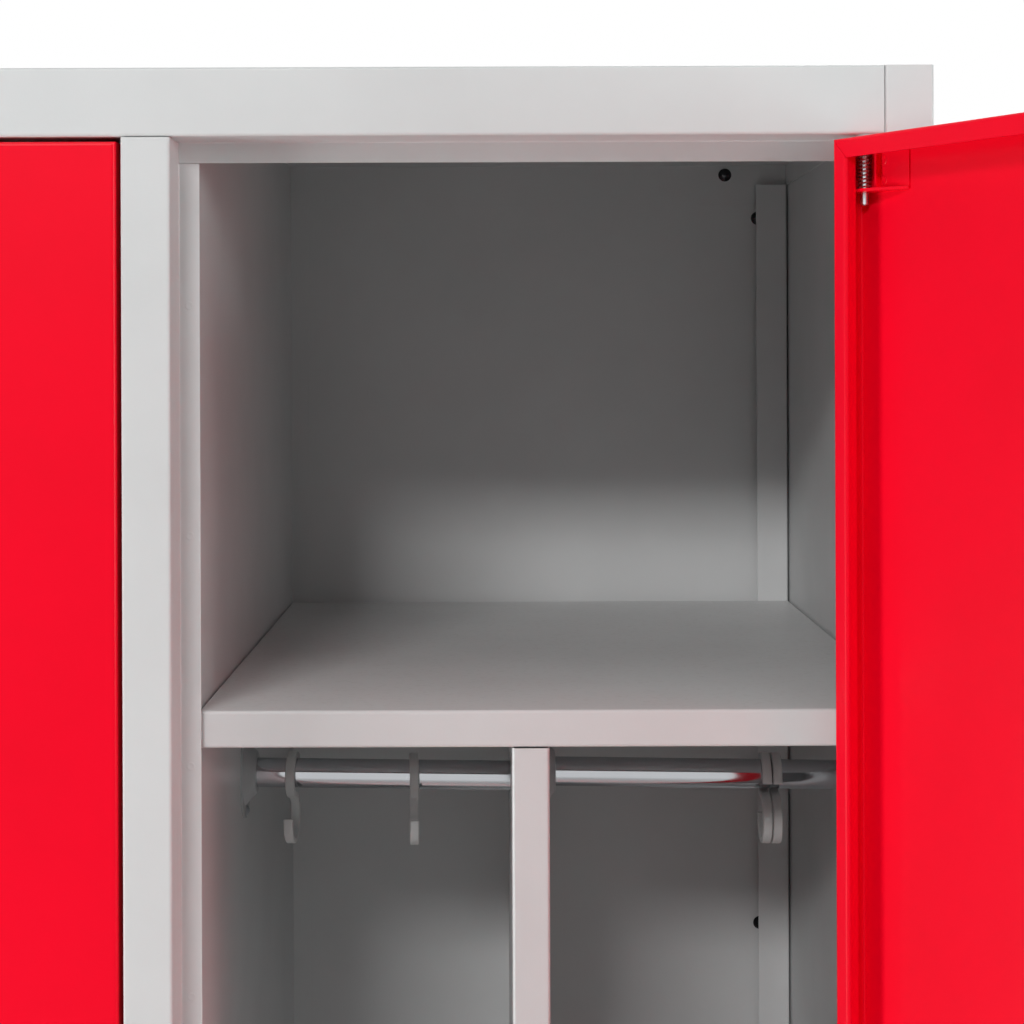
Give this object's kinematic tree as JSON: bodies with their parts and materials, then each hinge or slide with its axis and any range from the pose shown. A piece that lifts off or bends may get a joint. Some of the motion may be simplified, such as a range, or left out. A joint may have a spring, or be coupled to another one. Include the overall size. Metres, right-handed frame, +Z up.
{
  "type": "changing room locker",
  "caption": "Folded sheet steel locker with hinged doors, spring pin hinges, hat shelves, partitions, coat rails and sliding hooks.",
  "frame": {"origin": "on the floor, at the middle of the carcass", "axes": "+Z up, doors face -Y, +X to the right as seen from the front"},
  "size_m": [0.9546, 0.8037, 1.8],
  "materials": {
    "grey_coat": "smooth light grey powder coat, half gloss",
    "red_coat": "smooth bright red powder coat, half gloss",
    "zinc": "bright zinc plate",
    "bright_chrome": "polished chrome plate",
    "dark_screw": "dark phosphate coat",
    "hook_plastic": "fine satin moulded plastic",
    "nylon": "fine satin moulded plastic",
    "soft_rubber": "matt black rubber"
  },
  "bodies": {
    "carcass": {"left_side_panel": "grey_coat", "right_side_panel": "grey_coat", "top_panel": "grey_coat", "bottom_panel": "grey_coat", "back_panel": "grey_coat", "base_channel": "grey_coat", "centre_post": "grey_coat", "left_divider_wall": "grey_coat", "right_divider_wall": "grey_coat", "left_shelf": "grey_coat", "right_shelf": "grey_coat", "left_partition": "grey_coat", "right_partition": "grey_coat", "left_inner_rail": "bright_chrome", "left_outer_rail": "bright_chrome", "right_inner_rail": "bright_chrome", "right_outer_rail": "bright_chrome", "left_inner_socket": "nylon", "left_outer_sockets": "nylon", "right_inner_socket": "nylon", "right_outer_sockets": "nylon", "socket_screws": "zinc", "shelf_screws": "zinc", "back_screws": "dark_screw", "hinge_bushes": "nylon"},
    "left_door": {"left_door_panel": "red_coat", "left_door_stiffener": "red_coat", "left_top_bracket": "red_coat", "left_bottom_bracket": "red_coat", "left_bottom_pin": "zinc", "left_door_buffers": "soft_rubber", "left_lock_body": "zinc", "left_lock_nut": "zinc"},
    "left_pin": {"left_top_pin": "zinc", "left_pin_spring": "zinc"},
    "left_lock": {"left_lock_plug": "bright_chrome", "left_lock_cam": "zinc", "left_cam_screw": "zinc"},
    "left_hook_1": {"left_hook_1": "hook_plastic"},
    "left_hook_2": {"left_hook_2": "hook_plastic"},
    "left_hook_3": {"left_hook_3": "hook_plastic"},
    "left_hook_4": {"left_hook_4": "hook_plastic"},
    "right_door": {"right_door_panel": "red_coat", "right_door_stiffener": "red_coat", "right_top_bracket": "red_coat", "right_bottom_bracket": "red_coat", "right_bottom_pin": "zinc", "right_door_buffers": "soft_rubber", "right_lock_body": "zinc", "right_lock_nut": "zinc"},
    "right_pin": {"right_top_pin": "zinc", "right_pin_spring": "zinc"},
    "right_lock": {"right_lock_plug": "bright_chrome", "right_lock_cam": "zinc", "right_cam_screw": "zinc"},
    "right_hook_1": {"right_hook_1": "hook_plastic"},
    "right_hook_2": {"right_hook_2": "hook_plastic"},
    "right_hook_3": {"right_hook_3": "hook_plastic"},
    "right_hook_4": {"right_hook_4": "hook_plastic"}
  },
  "joints": [
    {"name": "left_door_swing", "type": "hinge", "parent": "carcass", "child": "left_door", "pos_m": [-0.3654, -0.245, 0.9], "axis": [0, 0, -1], "range_deg": [0, 122]},
    {"name": "right_door_swing", "type": "hinge", "parent": "carcass", "child": "right_door", "pos_m": [0.3654, -0.245, 0.9], "axis": [0, 0, 1], "range_deg": [-122, 0]},
    {"name": "left_pin_slide", "type": "slide", "parent": "left_door", "child": "left_pin", "axis": [0, 0, -1], "range_m": [0, 0.0074], "stiffness_N_per_m": 250, "springref_m": -0.004, "deforming": ["left_pin_spring"]},
    {"name": "right_pin_slide", "type": "slide", "parent": "right_door", "child": "right_pin", "axis": [0, 0, -1], "range_m": [0, 0.0074], "stiffness_N_per_m": 250, "springref_m": -0.004, "deforming": ["right_pin_spring"]},
    {"name": "left_lock_turn", "type": "hinge", "parent": "left_door", "child": "left_lock", "pos_m": [-0.0429, -0.25, 0.95], "axis": [0, -1, 0], "range_deg": [0, 90]},
    {"name": "right_lock_turn", "type": "hinge", "parent": "right_door", "child": "right_lock", "pos_m": [0.54054, -0.51585, 0.95], "axis": [-0.848, -0.5299, 0], "range_deg": [0, 90]},
    {"name": "left_hook_1_slide", "type": "slide", "parent": "carcass", "child": "left_hook_1", "axis": [-0.9999, 0, -0.0157], "range_m": [-0.0175, 0.0333]},
    {"name": "left_hook_2_slide", "type": "slide", "parent": "carcass", "child": "left_hook_2", "axis": [-0.9999, 0, -0.0157], "range_m": [-0.0333, 0.0552]},
    {"name": "left_hook_3_slide", "type": "slide", "parent": "carcass", "child": "left_hook_3", "axis": [-0.9999, 0, -0.0157], "range_m": [-0.1266, 0]},
    {"name": "left_hook_4_slide", "type": "slide", "parent": "carcass", "child": "left_hook_4", "axis": [-0.9999, 0, -0.0157], "range_m": [0, 0.0383]},
    {"name": "right_hook_1_slide", "type": "slide", "parent": "carcass", "child": "right_hook_1", "axis": [0.9999, 0, -0.0157], "range_m": [-0.0175, 0.0333]},
    {"name": "right_hook_2_slide", "type": "slide", "parent": "carcass", "child": "right_hook_2", "axis": [0.9999, 0, -0.0157], "range_m": [-0.0333, 0.0552]},
    {"name": "right_hook_3_slide", "type": "slide", "parent": "carcass", "child": "right_hook_3", "axis": [0.9999, 0, -0.0157], "range_m": [-0.1266, 0]},
    {"name": "right_hook_4_slide", "type": "slide", "parent": "carcass", "child": "right_hook_4", "axis": [0.9999, 0, -0.0157], "range_m": [0, 0.0383]}
  ]
}
